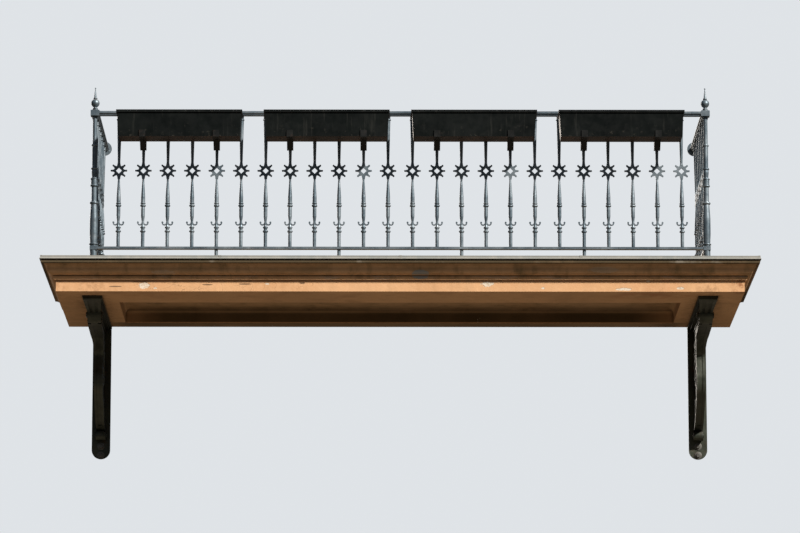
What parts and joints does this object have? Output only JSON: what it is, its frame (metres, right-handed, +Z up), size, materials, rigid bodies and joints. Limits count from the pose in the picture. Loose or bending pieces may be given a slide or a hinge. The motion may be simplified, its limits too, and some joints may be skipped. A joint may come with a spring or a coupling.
{
  "type": "wall balcony",
  "caption": "Masonry balcony slab on cast-iron scroll brackets, with a cast-iron baluster railing and plant troughs hung outside it.",
  "frame": {"origin": "middle of the slab's back face, on the wall plane", "axes": "+X to the right as seen from the street, +Y into the wall, +Z up; the front faces -Y"},
  "size_m": [4.54, 1.34, 2.246],
  "materials": {
    "rendered_slab": "painted render, weathered, chipped and cracked",
    "deck": "unglazed tile in mortar joints",
    "flashing": "dull weathered zinc-grey sheet",
    "railing_iron": "old blue-grey satin paint with rust at the joints",
    "bracket_iron": "green-black paint, dusty on top faces",
    "hook_steel": "black satin paint",
    "planter_plastic": "matt moulded plastic, sun-faded at the rim"
  },
  "bodies": {
    "root": {"slab": "rendered_slab", "deck_screed": "deck", "flashing_front": "flashing", "flashing_left": "flashing", "flashing_right": "flashing", "bracket_left": "bracket_iron", "bracket_right": "bracket_iron", "corner_post_left": "railing_iron", "corner_post_right": "railing_iron", "finial_left": "railing_iron", "finial_right": "railing_iron", "handrail_front": "railing_iron", "handrail_left": "railing_iron", "handrail_right": "railing_iron", "bottom_rail_front": "railing_iron", "bottom_rail_left": "railing_iron", "bottom_rail_right": "railing_iron", "front_balusters_1": "railing_iron", "front_balusters_2": "railing_iron", "front_balusters_3": "railing_iron", "front_balusters_4": "railing_iron", "left_balusters": "railing_iron", "right_balusters": "railing_iron", "rail_legs": "railing_iron", "wall_plates_left": "railing_iron", "wall_plates_right": "railing_iron", "planter_1": "planter_plastic", "planter_2": "planter_plastic", "planter_3": "planter_plastic", "planter_4": "planter_plastic", "planter_hooks_1": "hook_steel", "planter_hooks_2": "hook_steel", "planter_hooks_3": "hook_steel", "planter_hooks_4": "hook_steel"}
  },
  "joints": []
}
